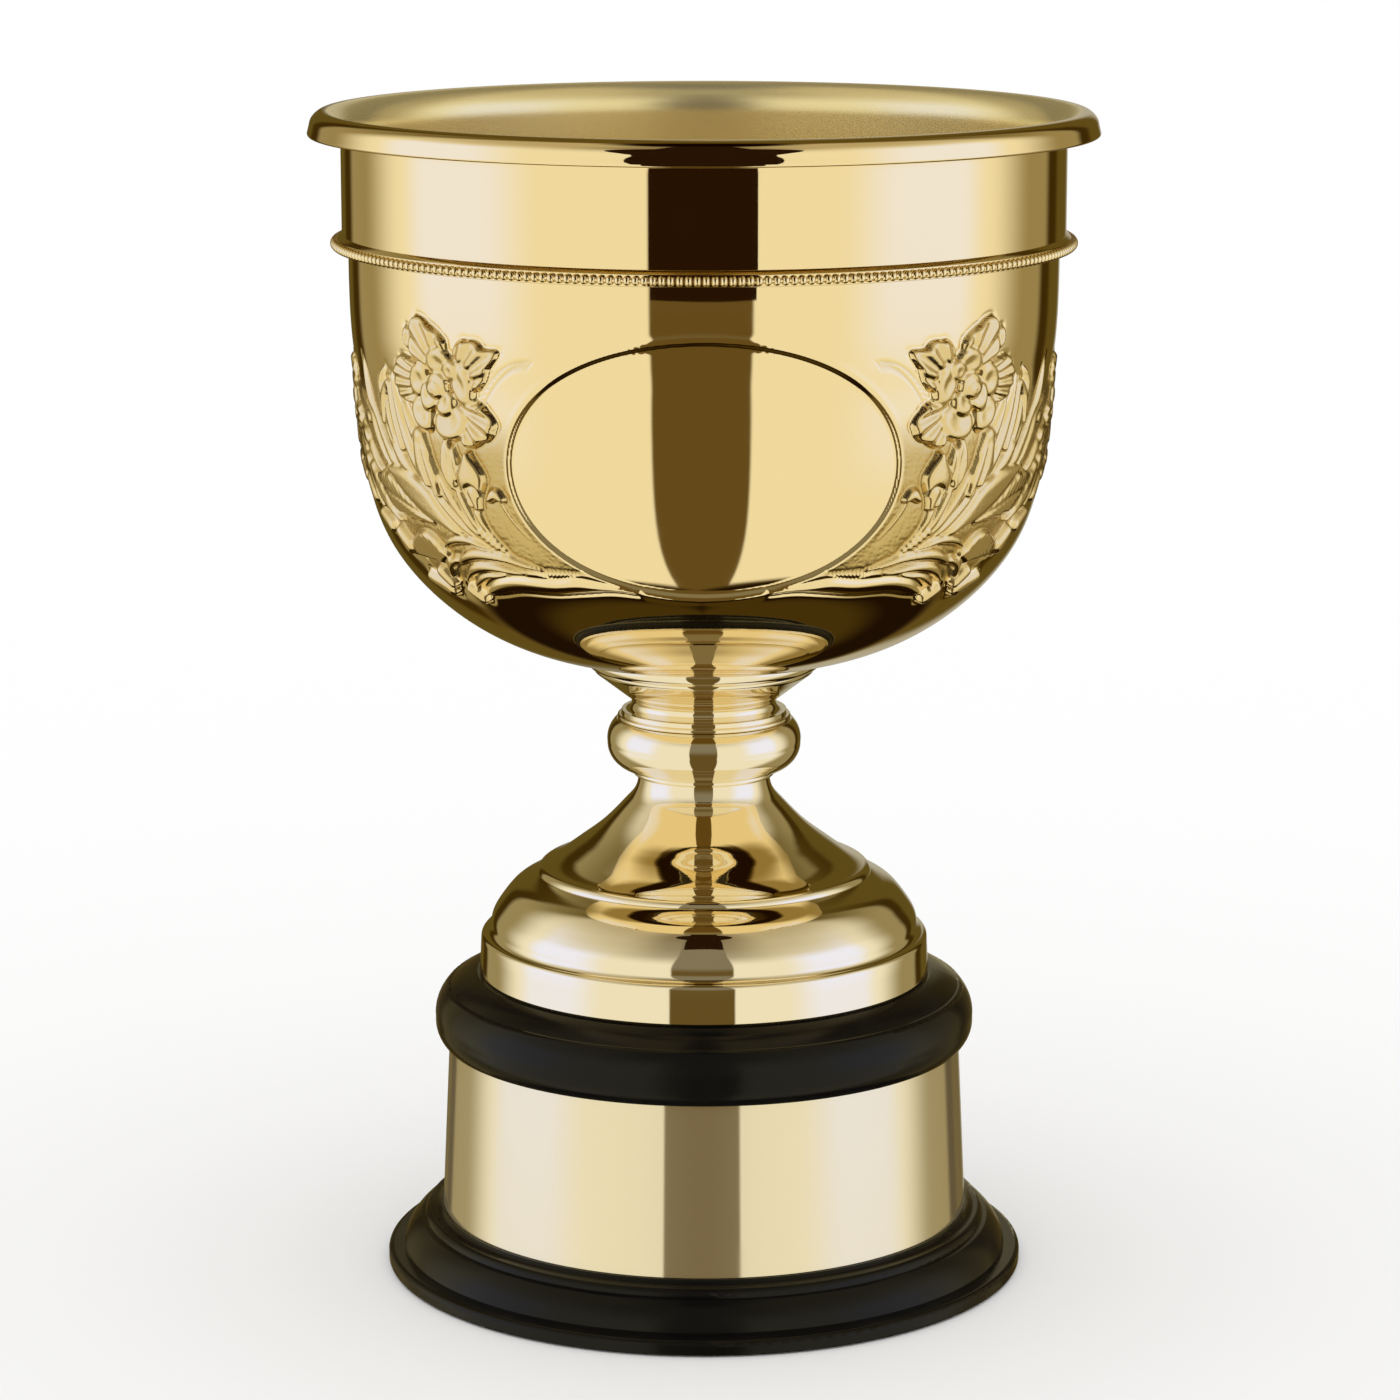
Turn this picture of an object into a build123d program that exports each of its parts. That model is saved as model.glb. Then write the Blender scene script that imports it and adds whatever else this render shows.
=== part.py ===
"""Presentation cup on a turned plinth: spun and turned pieces clamped along one tie rod.

Millimetres, +Z up. The origin is the centre of the face that rests on the table.
Almost every piece is turned, so its outline is drawn in the XZ plane (X is the radius)
and revolved about Z. Heights are added up from the table, one piece on top of the next.
"""

from build123d import *
import os

os.makedirs("parts", exist_ok=True)

def beside(curve, distance, steps=8):
    """Points along the left of a curve at a fixed distance, from its end back to its start."""
    shares = [1 - step / steps for step in range(steps + 1)]
    return [curve @ share + (curve % share).rotate(Axis.Z, 90) * distance for share in shares]


# ---------------------------------------------------------------- driving dimensions
rim_radius = 95.0  # outer edge of the turned-over lip
rim_height = 286.8  # crest of the lip above the table
plinth_radius = 79.2  # widest ring of the plinth's base moulding
foot_radius = 55.7  # lower edge of the cup's foot
knop_radius = 23.8  # widest part of the knop
wall_radius = 87.1  # outside of the straight wall under the lip
bowl_top_radius = 85.6  # outside of the bowl just under the girdle

sheet = 1.2  # thickness of the spun brass
rod_radius = 3.0  # M6 tie rod
bore_radius = 3.4  # clearance bore round the rod

# Heights of the joints between the pieces, from the table up
felt_thickness = 1.0
base_low = 0.4  # underside of the base moulding: the felt stands this far proud of it
base_high = 14.8
band_length = 42.5
cap_low = base_high + band_length
cap_high = 73.9
foot_high = 99.3
stem_high = 123.6
stem_ring_high = 125.2
knop_high = 137.7
knop_ring_high = 140.0
collar_high = 150.7
seat_high = 153.4
girdle_low = 253.8
girdle_high = 257.6

# ---------------------------------------------------------------- plinth
felt_radius = 72.0
felt_hole_radius = 16.0
felt_recess = 0.3  # radial gap between the felt and the edge of its recess

nut_well_radius = 13.0
base_well_high = 8.5  # the lower nut and washer pull against the roof of this well
cap_well_low = 64.9  # well in the cap's top that swallows the upper nut

band_thickness = 0.8
band_gap = 0.1  # radial gap between the band and the wooden core
band_low_radius = 65.4
band_high_radius = 63.4

spigot_radius = 30.0  # turned register that centres the cap on the core
spigot_height = 3.0

screw_length = 32.0
screw_shank_radius = 2.0
screw_pilot_radius = 1.7
screw_head_radius = 4.0
screw_head_depth = screw_head_radius - screw_shank_radius  # 90 degree countersink
screw_thread_length = 18.5
base_screw_circle = 44.0
base_screws = 4
cap_screw_circle = 36.0
cap_screws = 3

with BuildPart() as felt_pad:
    with BuildSketch():
        Circle(felt_radius)
        Circle(felt_hole_radius, mode=Mode.SUBTRACT)
    extrude(amount=felt_thickness)

# The base moulding: a rounded disc, a quirk, an ovolo, a bead and a flat that carries the band.
with BuildPart() as plinth_base:
    with BuildSketch(Plane.XZ):
        with BuildLine():
            Line((bore_radius, base_high), (bore_radius, base_low))
            Line((bore_radius, base_low), (plinth_radius - 0.5, base_low))
            RadiusArc((plinth_radius - 0.5, base_low), (plinth_radius, base_low + 0.5), -0.5)
            Line((plinth_radius, base_low + 0.5), (plinth_radius, 2.6))
            RadiusArc((plinth_radius, 2.6), (plinth_radius - 1.3, 3.9), -1.3)
            Line((plinth_radius - 1.3, 3.9), (75.3, 3.9))
            Line((75.3, 3.9), (75.3, 4.7))
            ThreePointArc((75.3, 4.7), (73.9, 8.1), (71.0, 11.2))
            Line((71.0, 11.2), (69.9, 11.4))
            ThreePointArc((69.9, 11.4), (69.6, 12.8), (68.3, 13.5))
            ThreePointArc((68.3, 13.5), (67.0, 13.8), (66.0, base_high))
            Line((66.0, base_high), (bore_radius, base_high))
        make_face()
    revolve(axis=Axis.Z)
    with BuildSketch(Plane.XY.offset(base_low)):
        Circle(felt_radius + felt_recess)
    extrude(amount=felt_thickness - base_low, mode=Mode.SUBTRACT)
    with BuildSketch(Plane.XY.offset(base_low)):
        Circle(nut_well_radius)
    extrude(amount=base_well_high - base_low, mode=Mode.SUBTRACT)
    underside = Plane(origin=(0, 0, felt_thickness), z_dir=(0, 0, -1))
    with Locations(underside):
        with PolarLocations(base_screw_circle, base_screws):
            CounterSinkHole(screw_shank_radius + 0.2, screw_head_radius)

with BuildPart() as plinth_core:
    with BuildSketch(Plane.XZ):
        with BuildLine():
            Polyline(
                (bore_radius, base_high),
                (band_low_radius - band_thickness - band_gap, base_high),
                (band_high_radius - band_thickness - band_gap, cap_low),
                (spigot_radius, cap_low),
                (spigot_radius, cap_low + spigot_height),
                (bore_radius, cap_low + spigot_height),
                close=True,
            )
        make_face()
    revolve(axis=Axis.Z)
    with BuildSketch(Plane.XY.offset(base_high)):
        with PolarLocations(base_screw_circle, base_screws):
            Circle(screw_pilot_radius)
    extrude(amount=screw_length - (base_high - felt_thickness), mode=Mode.SUBTRACT)
    with BuildSketch(Plane.XY.offset(cap_low)):
        with PolarLocations(cap_screw_circle, cap_screws):
            Circle(screw_pilot_radius)
    extrude(amount=-(screw_length - (cap_high - cap_low)), mode=Mode.SUBTRACT)

# The polished band: a tapered sleeve that drops over the core and is trapped by the cap.
with BuildPart() as plinth_band:
    with BuildSketch(Plane.XZ):
        with BuildLine():
            Polyline(
                (band_low_radius - band_thickness, base_high),
                (band_low_radius, base_high),
                (band_high_radius, cap_low),
                (band_high_radius - band_thickness, cap_low),
                close=True,
            )
        make_face()
    revolve(axis=Axis.Z)

# The cap moulding: a cushion with a soft arris and a falling top, hollowed for the upper nut.
with BuildPart() as plinth_cap:
    with BuildSketch(Plane.XZ):
        with BuildLine():
            Line((bore_radius, cap_low), (65.0, cap_low))
            ThreePointArc((65.0, cap_low), (66.3, 59.2), (66.8, 62.4))
            ThreePointArc((66.8, 62.4), (66.2, 66.9), (64.5, 69.6))
            ThreePointArc((64.5, 69.6), (63.9, 70.2), (63.0, 70.5))
            ThreePointArc((63.0, 70.5), (59.8, 72.6), (56.4, cap_high))
            Line((56.4, cap_high), (bore_radius, cap_high))
            Line((bore_radius, cap_high), (bore_radius, cap_low))
        make_face()
    revolve(axis=Axis.Z)
    with BuildSketch(Plane.XY.offset(cap_low)):
        Circle(spigot_radius + band_gap)
    extrude(amount=spigot_height + 0.2, mode=Mode.SUBTRACT)
    with BuildSketch(Plane.XY.offset(cap_well_low)):
        Circle(nut_well_radius)
    extrude(amount=cap_high - cap_well_low, mode=Mode.SUBTRACT)
    with Locations(Plane.XY.offset(cap_high)):
        with PolarLocations(cap_screw_circle, cap_screws):
            CounterSinkHole(screw_shank_radius + 0.2, screw_head_radius)

# One countersunk wood screw, head uppermost, its head's face at the origin.
with BuildPart(mode=Mode.PRIVATE) as wood_screw:
    with BuildSketch(Plane.XZ):
        with BuildLine():
            Polyline(
                (0, 0),
                (screw_head_radius - 0.1, 0),
                (screw_shank_radius, -screw_head_depth),
                (screw_shank_radius, screw_thread_length - screw_length),
                (screw_pilot_radius, screw_thread_length - screw_length),
                (screw_pilot_radius, 3.0 - screw_length),
                (0, 0.3 - screw_length),
                close=True,
            )
        make_face()
    revolve(axis=Axis.Z)
    with BuildSketch(Plane.XY):
        Rectangle(2 * screw_head_radius, 1.0)
    extrude(amount=-1.0, mode=Mode.SUBTRACT)

with BuildPart() as wood_screws:
    with Locations(underside):
        with PolarLocations(base_screw_circle, base_screws):
            add(wood_screw.part)
    with Locations(Plane.XY.offset(cap_high)):
        with PolarLocations(cap_screw_circle, cap_screws):
            add(wood_screw.part)

# ---------------------------------------------------------------- clamping: rod, nuts, washers
bridge_low = 75.0
bridge_thickness = 2.0
washer_radius = 9.0
washer_thickness = 1.6
nut_across_flats = 10.0
nut_thickness = 5.0
rod_low = 1.2
rod_high = 150.2

with BuildPart() as tie_rod:
    with BuildSketch(Plane.XY.offset(rod_low)):
        Circle(rod_radius)
    extrude(amount=rod_high - rod_low)
    chamfer(tie_rod.edges(), 0.6)

with BuildPart() as washers:
    for washer_low in (base_well_high - washer_thickness, bridge_low - washer_thickness):
        with BuildSketch(Plane.XY.offset(washer_low)):
            Circle(washer_radius)
            Circle(bore_radius, mode=Mode.SUBTRACT)
        extrude(amount=washer_thickness)

with BuildPart() as hex_nuts:
    for nut_high in (base_well_high - washer_thickness, bridge_low - washer_thickness):
        with BuildSketch(Plane.XY.offset(nut_high - nut_thickness)):
            RegularPolygon(nut_across_flats / 2, 6, major_radius=False)
            Circle(rod_radius, mode=Mode.SUBTRACT)
        extrude(amount=nut_thickness)

# A disc soldered across the foot, with openings that let the plating solution drain.
bridge_radius = 53.8
drain_radius = 8.0
drain_circle = 32.0
with BuildPart() as foot_bridge:
    with BuildSketch(Plane.XY.offset(bridge_low)):
        Circle(bridge_radius)
        Circle(bore_radius, mode=Mode.SUBTRACT)
        with PolarLocations(drain_circle, 4):
            Circle(drain_radius, mode=Mode.SUBTRACT)
    extrude(amount=bridge_thickness)

# ---------------------------------------------------------------- the cup's foot and stem
dome_low = 86.0  # the dome rises from here, above the band and its cove
foot_mouth_radius = 35.0
stem_foot_radius = 41.2  # bead that ends the stem and stands on the dome
stem_neck_radius = 16.2

with BuildPart() as foot:
    with BuildSketch(Plane.XZ):
        with BuildLine():
            Line((foot_radius - 0.6, cap_high), (foot_radius, cap_high + 0.7))
            Line((foot_radius, cap_high + 0.7), (foot_radius - 0.4, 82.9))
            ThreePointArc((foot_radius - 0.4, 82.9), (55.0, 83.7), (54.2, 84.2))
            ThreePointArc((54.2, 84.2), (53.2, 84.9), (52.8, dome_low))
            dome = Spline(
                (52.8, dome_low),
                (50.8, 91.2),
                (46.8, 95.9),
                (stem_foot_radius, foot_high),
                tangents=((0, 1), (-1, 0.75)),
            )
            Line((stem_foot_radius, foot_high), (foot_mouth_radius, foot_high))
            Line((foot_mouth_radius, foot_high), (foot_mouth_radius, foot_high - sheet))
            Line((foot_mouth_radius, foot_high - sheet), beside(dome, sheet)[0])
            Spline(*beside(dome, sheet))
            Polyline(
                beside(dome, sheet)[-1],
                (foot_radius - 0.4 - sheet, 82.7),
                (foot_radius - sheet, cap_high),
                (foot_radius - 0.6, cap_high),
            )
        make_face()
    revolve(axis=Axis.Z)

# The stem: a spun trumpet that ends in a small bead standing on the dome.
stem_floor = 2.0
with BuildPart() as stem:
    with BuildSketch(Plane.XZ):
        with BuildLine():
            ThreePointArc((stem_foot_radius, foot_high), (40.7, 100.4), (39.4, 101.2))
            trumpet = Spline(
                (39.4, 101.2),
                (32.7, 105.3),
                (24.9, 111.3),
                (19.1, 117.3),
                (stem_neck_radius, stem_high),
                tangents=((-1, 0.35), (0, 1)),
            )
            Line((stem_neck_radius, stem_high), beside(trumpet, sheet)[0])
            Spline(*beside(trumpet, sheet))
            Polyline(
                beside(trumpet, sheet)[-1],
                (stem_foot_radius - 2 * sheet, foot_high),
                (stem_foot_radius, foot_high),
            )
        make_face()
    revolve(axis=Axis.Z)
    with BuildSketch(Plane.XY.offset(stem_high - stem_floor)):
        Circle(stem_neck_radius - 0.4)
    extrude(amount=stem_floor)
    with Locations(Plane.XY.offset(stem_high)):
        Hole(bore_radius)

with BuildPart() as stem_ring:
    with BuildSketch(Plane.XY.offset(stem_high)):
        Circle(17.5)
        Circle(bore_radius, mode=Mode.SUBTRACT)
    extrude(amount=stem_ring_high - stem_high)
    fillet(stem_ring.edges().filter_by(GeomType.CIRCLE).group_by(SortBy.RADIUS)[-1], 0.7)

# The knop: a flattened hollow ball.
knop_wall = 1.5
knop_middle = 131.8
with BuildPart() as knop:
    with BuildSketch(Plane.XZ):
        with BuildLine():
            Line((0, stem_ring_high), (18.6, stem_ring_high))
            ThreePointArc((18.6, stem_ring_high), (22.4, 127.6), (knop_radius, knop_middle))
            ThreePointArc((knop_radius, knop_middle), (23.3, 135.3), (21.6, knop_high))
            Line((21.6, knop_high), (0, knop_high))
            Line((0, knop_high), (0, stem_ring_high))
        make_face()
        offset(amount=-knop_wall, mode=Mode.SUBTRACT)
    revolve(axis=Axis.Z)
    with Locations(Plane.XY.offset(knop_high)):
        Hole(bore_radius)

# Two reeds that ease the knop into the neck.
reed_height = (knop_ring_high - knop_high) / 2
with BuildPart() as knop_ring:
    for reed, reed_radius in enumerate((21.3, 20.3)):
        with BuildSketch(Plane.XY.offset(knop_high + reed * reed_height)):
            Circle(reed_radius)
            Circle(bore_radius, mode=Mode.SUBTRACT)
        extrude(amount=reed_height)
    fillet(knop_ring.edges().filter_by(GeomType.CIRCLE).group_by(SortBy.RADIUS)[-1], 0.5)

# The collar: the neck and the cone that carries the bowl, hollow above its floor.
collar_floor_high = 143.5
collar_mouth_radius = 24.8
with BuildPart() as collar:
    with BuildSketch(Plane.XZ):
        with BuildLine():
            Line((bore_radius, knop_ring_high), (19.3, knop_ring_high))
            ThreePointArc((19.3, knop_ring_high), (17.8, 142.0), (19.0, 143.6))
            Line((19.0, 143.6), (26.4, 149.3))
            ThreePointArc((26.4, 149.3), (27.0, 149.9), (27.2, collar_high))
            Line((27.2, collar_high), (collar_mouth_radius, collar_high))
            Line((collar_mouth_radius, collar_high), (15.0, collar_floor_high))
            Line((15.0, collar_floor_high), (bore_radius, collar_floor_high))
            Line((bore_radius, collar_floor_high), (bore_radius, knop_ring_high))
        make_face()
    revolve(axis=Axis.Z)

with BuildPart() as seat_ring:
    with BuildSketch(Plane.XZ):
        with BuildLine():
            Line((21.5, collar_high), (27.7, collar_high))
            ThreePointArc((27.7, collar_high), (28.8, 151.9), (28.9, seat_high))
            Line((28.9, seat_high), (21.5, seat_high))
            Line((21.5, seat_high), (21.5, collar_high))
        make_face()
    revolve(axis=Axis.Z)

# The threaded boss soldered under the bowl, which takes the top of the tie rod.
boss_low = 143.8
boss_flange_low = 151.8
boss_thread_high = 151.2
with BuildPart() as bowl_boss:
    with BuildSketch(Plane.XY.offset(boss_low)):
        Circle(8.5)
    extrude(amount=seat_high - boss_low)
    with BuildSketch(Plane.XY.offset(boss_flange_low)):
        Circle(20.5)
    extrude(amount=seat_high - boss_flange_low)
    with BuildSketch(Plane.XY.offset(boss_low)):
        Circle(rod_radius)
    extrude(amount=boss_thread_high - boss_low, mode=Mode.SUBTRACT)

# ---------------------------------------------------------------- the bowl
bowl_lap_high = 256.8  # the bowl's edge laps inside the wall above it
flat_radius = 28.0  # flat patch that stands on the seat ring

with BuildPart() as bowl:
    with BuildSketch(Plane.XZ):
        with BuildLine():
            Line((0, seat_high), (flat_radius, seat_high))
            body = Spline(
                (flat_radius, seat_high),
                (45.1, 157.4),
                (62.6, 167.4),
                (76.4, 183.4),
                (82.7, 205.4),
                (84.4, 227.0),
                (bowl_top_radius, bowl_lap_high),
                tangents=((1, 0.12), (0, 1)),
            )
            Line((bowl_top_radius, bowl_lap_high), beside(body, sheet)[0])
            Spline(*beside(body, sheet, steps=16))
            Polyline(beside(body, sheet)[-1], (0, seat_high + sheet), (0, seat_high))
        make_face()
    revolve(axis=Axis.Z)

# The straight wall and its lip: one sheet, flared at the top and turned over and down.
lip_end = Vector(rim_radius, 281.6)
lip_end_direction = Vector(0.3, -1).normalized()
with BuildPart() as rim_band:
    with BuildSketch(Plane.XZ):
        with BuildLine():
            Line((wall_radius - sheet, girdle_low), (wall_radius - sheet, 278.5))
            lip = Spline(
                (wall_radius - sheet, 278.5),
                (87.6, 284.6),
                (91.4, rim_height),
                (94.0, 285.0),
                lip_end,
                tangents=((0, 1), lip_end_direction),
            )
            underside_of_lip = beside(lip, -sheet, steps=16)
            lip_nose = (lip_end + underside_of_lip[0]) / 2 + lip_end_direction * (sheet / 2)
            ThreePointArc(lip_end, lip_nose, underside_of_lip[0])
            Spline(*underside_of_lip)
            Line(underside_of_lip[-1], (wall_radius, girdle_low))
            Line((wall_radius, girdle_low), (wall_radius - sheet, girdle_low))
        make_face()
    revolve(axis=Axis.Z)

# A plain ring soldered over the bowl's joint, and the bead wire that runs round it.
girdle_radius = 88.3
bead_middle = 255.2
bead_half_height = 1.1
bead_reach = 1.6
with BuildPart() as girdle_ring:
    with BuildSketch(Plane.XZ):
        with BuildLine():
            Polyline(
                (wall_radius, girdle_low),
                (girdle_radius, girdle_low),
                (girdle_radius, 256.5),
                (87.9, 256.9),
                (wall_radius, girdle_high),
                close=True,
            )
        make_face()
    revolve(axis=Axis.Z)

with BuildPart() as beaded_wire:
    with BuildSketch(Plane.XZ):
        with BuildLine():
            ThreePointArc(
                (girdle_radius, bead_middle - bead_half_height),
                (girdle_radius + bead_reach, bead_middle),
                (girdle_radius, bead_middle + bead_half_height),
            )
            Line(
                (girdle_radius, bead_middle + bead_half_height),
                (girdle_radius, bead_middle - bead_half_height),
            )
        make_face()
    revolve(axis=Axis.Z)

# ---------------------------------------------------------------- one STEP file for each piece
pieces = {
    "felt_pad": felt_pad,
    "plinth_base": plinth_base,
    "plinth_core": plinth_core,
    "plinth_band": plinth_band,
    "plinth_cap": plinth_cap,
    "wood_screws": wood_screws,
    "tie_rod": tie_rod,
    "washers": washers,
    "hex_nuts": hex_nuts,
    "foot_bridge": foot_bridge,
    "foot": foot,
    "stem": stem,
    "stem_ring": stem_ring,
    "knop": knop,
    "knop_ring": knop_ring,
    "collar": collar,
    "seat_ring": seat_ring,
    "bowl_boss": bowl_boss,
    "bowl": bowl,
    "rim_band": rim_band,
    "girdle_ring": girdle_ring,
    "beaded_wire": beaded_wire,
}
for name, piece in pieces.items():
    piece.part.label = name
    export_step(piece.part, f"parts/{name}.step")
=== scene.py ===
"""Looks of the presentation cup: fine turned skins, beads, materials, studio and camera.

Metres, +Z up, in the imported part's frame. The front faces -Y.
"""

import math

import bmesh
import bpy
import numpy as np
from mathutils import Matrix


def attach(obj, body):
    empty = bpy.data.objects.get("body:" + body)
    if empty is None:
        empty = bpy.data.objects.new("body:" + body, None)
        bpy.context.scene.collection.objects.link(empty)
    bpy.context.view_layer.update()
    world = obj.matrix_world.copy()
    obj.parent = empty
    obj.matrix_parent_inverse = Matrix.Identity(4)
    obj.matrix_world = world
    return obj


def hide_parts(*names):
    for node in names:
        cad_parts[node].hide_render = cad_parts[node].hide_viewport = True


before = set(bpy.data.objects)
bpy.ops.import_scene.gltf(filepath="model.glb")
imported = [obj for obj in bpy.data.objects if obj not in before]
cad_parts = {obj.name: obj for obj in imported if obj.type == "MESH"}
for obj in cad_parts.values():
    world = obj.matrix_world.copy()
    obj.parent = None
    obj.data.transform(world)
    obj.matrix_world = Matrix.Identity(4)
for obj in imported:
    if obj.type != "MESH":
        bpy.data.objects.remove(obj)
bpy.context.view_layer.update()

MM = 0.001
TAU = 2 * math.pi

# ------------------------------ outlines read from the CAD nodes
SEAM_TOLERANCE = 2e-7
CORNER_TURN = math.radians(25)
FINE_STEP = 0.5 * MM
STRAIGHT_RATIO = 3.0  # a segment this much longer than its neighbour is a straight line
STRAIGHT_COSINE = 0.99999  # a segment that leaves and arrives this close to its chord stays one piece


def seam_points(node):
    """The (radius, height) points where a turned piece's mesh meets the XZ plane, in order."""
    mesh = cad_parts[node].data
    seam = {}
    for vertex in mesh.vertices:
        x, y, z = vertex.co
        if abs(y) < SEAM_TOLERANCE and x > -SEAM_TOLERANCE:
            seam[vertex.index] = (round(x, 7), round(z, 7))
    linked = {point: set() for point in seam.values()}
    for edge in mesh.edges:
        ends = [seam[index] for index in edge.vertices if index in seam]
        if len(ends) == 2 and ends[0] != ends[1]:
            linked[ends[0]].add(ends[1])
            linked[ends[1]].add(ends[0])
    current = min(linked, key=lambda point: (point[0], -point[1]))
    ordered = [current]
    left = set(linked) - {current}
    while left:
        choices = (linked[current] & left) or left
        current = min(choices, key=lambda point: math.dist(point, ordered[-1]))
        ordered.append(current)
        left.remove(current)
    return np.array(ordered)


def run_direction(before, here, after):
    """Unit tangent of a smooth outline at a point, from the circle through its neighbours."""
    back, forward = here - before, after - here
    back_length, forward_length = np.linalg.norm(back), np.linalg.norm(forward)
    if back_length > STRAIGHT_RATIO * forward_length:
        tangent = back
    elif forward_length > STRAIGHT_RATIO * back_length:
        tangent = forward
    else:
        tangent = back * forward_length / back_length + forward * back_length / forward_length
    return tangent / np.linalg.norm(tangent)


def refined(points, step):
    """The closed outline with cubic pieces about step long between its points, its corners kept."""
    count = len(points)
    unit = []
    for i in range(count):
        chord = points[(i + 1) % count] - points[i]
        unit.append(chord / np.linalg.norm(chord))
    leaving, arriving = [None] * count, [None] * count
    for i in range(count):
        into, out_of = unit[i - 1], unit[i]
        turn = math.acos(max(-1.0, min(1.0, float(into @ out_of))))
        if turn > CORNER_TURN:
            arriving[i], leaving[i] = into, out_of
        else:
            tangent = run_direction(points[i - 1], points[i], points[(i + 1) % count])
            arriving[i] = leaving[i] = tangent
    fine = []
    for i in range(count):
        j = (i + 1) % count
        start, end = points[i], points[j]
        length = np.linalg.norm(end - start)
        straight = min(abs(unit[i] @ leaving[i]), abs(unit[i] @ arriving[j])) >= STRAIGHT_COSINE
        steps = 1 if straight else max(1, math.ceil(length / step))
        for t in np.arange(steps) / steps:
            fine.append(
                (2 * t**3 - 3 * t**2 + 1) * start
                + (t**3 - 2 * t**2 + t) * length * leaving[i]
                + (3 * t**2 - 2 * t**3) * end
                + (t**3 - t**2) * length * arriving[j]
            )
    return np.array(fine)


# ------------------------------ turned meshes
TURNS = 360
SHARP_EDGE = math.radians(30)
EASED_WIDTH = 0.15 * MM


def smooth_mesh(name, vertices, faces):
    """A new smooth-shaded object in the scene."""
    mesh = bpy.data.meshes.new(name)
    mesh.from_pydata(vertices, [], faces)
    mesh.update()
    mesh.shade_smooth()
    made = bpy.data.objects.new(name, mesh)
    bpy.context.scene.collection.objects.link(made)
    return made


def grid(rings):
    """Vertices and faces of a closed skin, rings[i][j] being point j of ring i."""
    ring_count, turn_count, _ = rings.shape
    i = np.arange(ring_count)[:, None]
    j = np.arange(turn_count)[None, :]
    next_i, next_j = (i + 1) % ring_count, (j + 1) % turn_count
    corners = [i * turn_count + j, next_i * turn_count + j,
               next_i * turn_count + next_j, i * turn_count + next_j]
    faces = np.stack([np.broadcast_to(c, (ring_count, turn_count)) for c in corners], axis=-1)
    return rings.reshape(-1, 3), faces.reshape(-1, 4)


def skin(name, rings):
    """A closed smooth mesh from rings of points."""
    return smooth_mesh(name, *grid(rings))


def turned_rings(points, turns=TURNS):
    """Every (radius, height) point carried round the axis."""
    angle = np.arange(turns) / turns * TAU
    radius, height = points[:, 0:1], points[:, 1:2]
    return np.stack([radius * np.cos(angle), radius * np.sin(angle),
                     np.broadcast_to(height, (len(points), turns))], axis=-1)


def outward(points):
    """The closed outline, ordered so that its turned faces point outward."""
    radius, height = points[:, 0], points[:, 1]
    area = np.sum(radius * np.roll(height, -1) - height * np.roll(radius, -1)) / 2
    return points if area < 0 else points[::-1]


def turned_outline(node, step=FINE_STEP):
    """The fine closed outline of a turned CAD piece, down to the axis where it has no bore."""
    points = seam_points(node)
    if points[0][0] < SEAM_TOLERANCE:
        points = np.vstack([points, (0.0, points[-1][1])])
    return outward(refined(points, step))


def stands_for(made, slot, *nodes):
    """The piece rides with the cup and hides the CAD nodes it stands for; the slot is not used."""
    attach(made, "root")
    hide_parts(*nodes)
    return made


def ease_edges(made):
    """Takes the sharpness off a turned piece's edges, as polishing does."""
    bevel = made.modifiers.new("eased edges", "BEVEL")
    bevel.width = EASED_WIDTH
    bevel.segments = 2
    bevel.limit_method = "ANGLE"
    bevel.angle_limit = CORNER_TURN
    bevel.harden_normals = True


def turned_piece(node, material):
    """A turned CAD piece with a finer skin and eased edges."""
    made = skin(node + "_skin", turned_rings(turned_outline(node)))
    made.data.set_sharp_from_angle(angle=SHARP_EDGE)
    made.data.materials.append(material)
    ease_edges(made)
    return stands_for(made, "gold_polished", node)


# ------------------------------ chased relief, drawn flat
# Everything here is in millimetres: u runs round the bowl from the middle of its front, and v runs
# up its side from the seat. One quarter is drawn, and mirrored for the other three.
FLAT_RADIUS = 80.0  # u is the angle times this
QUARTER = FLAT_RADIUS * math.pi / 2
CELL = 0.35
RELIEF_LOW, RELIEF_HIGH = 44.0, 127.0
SEED = 7

BOLDNESS = 1.45  # how far the drawn heights are driven out
MATT_SHAPES = 0.45  # how dull the raised shapes are, and how much painted shade darkens them: polished is 0 and the stippled ground is 1
GROOVE = 0.24  # depth of the tooled line round a shape
GROOVE_WIDTH = 0.8
EDGE_FROM, EDGE_TO = -0.2, 0.4  # a shape takes over from what lies below it between these
MARGIN = 2.0  # how far past its outline a shape can reach

THINNEST_BLADE = 0.3
MIDRIB_WIDTH = 0.45
VEIN_PITCH = 1.7
RUFFLES = 7  # along the whole of a ruffled edge
FAN_RISE, FAN_SOFT, FAN_LIFT = 0.7, 1.8, 0.5
FAN_SCALLOP, FAN_RIB, FAN_GROOVE = 0.7, 0.26, 0.26
PETAL_SOFT = 2.0
PETAL_DISH, DISH_SIZE = 0.45, 0.5  # as shares of the petal's rise and radii
WHORL_CUT, WHORL_LINE = 0.28, 0.16

GROUND_DEPTH = 0.22
GROUND_TOP, GROUND_RISE, RISE_FROM, RISE_TO = 94.0, 6.0, 70, 90  # it ends higher at the side
STIPPLE = 0.05
OVAL_CENTRE, OVAL_HALF, OVAL_DEPTH = (0.0, 87.0), (45.5, 30.4), 1.05
OVAL_SLOPE, OVAL_SLOPE_TOP = 0.40, 0.72  # half the width of the slope into the oval, lower and top
OVAL_LIP, LIP_PLACE, LIP_WIDTH = 0.08, -1.4, 0.7  # the faint ridge outside it
SHALLOW_FROM, SHALLOW_TO = 88, 112  # the relief halves between these on its way to the side

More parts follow.
